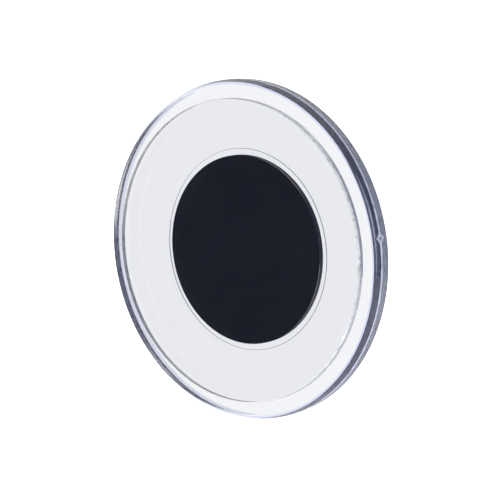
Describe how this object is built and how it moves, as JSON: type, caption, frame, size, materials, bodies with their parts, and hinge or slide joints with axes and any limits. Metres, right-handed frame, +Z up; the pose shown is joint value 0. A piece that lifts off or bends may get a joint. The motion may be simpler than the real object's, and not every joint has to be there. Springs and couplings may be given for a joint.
{
  "type": "round picture magnet",
  "caption": "Round clear picture magnet: a thick clear shell with a clear window pressed into its front, and a black magnet disc in its back.",
  "frame": {"origin": "centre of the magnet disc's outer face, where it touches the steel door", "axes": "+Y along the disc's axis from the picture window towards the magnet and the door; the window faces -Y; +Z up as it hangs on an upright door; +X to the right as the window is looked at"},
  "size_m": [0.065, 0.0056, 0.065],
  "materials": {
    "window_clear": "polished clear, water white",
    "shell_clear": "polished clear, water white",
    "adhesive_film": "black contact glue",
    "black_magnet": "smooth matte black"
  },
  "bodies": {
    "back": {"back_shell": "shell_clear", "adhesive_disc": "adhesive_film", "magnet_disc": "black_magnet"},
    "window": {"picture_window": "window_clear"}
  },
  "joints": [
    {"name": "window_pull", "type": "slide", "parent": "back", "child": "window", "axis": [0, -1, 0], "range_m": [0, 0.015]}
  ]
}
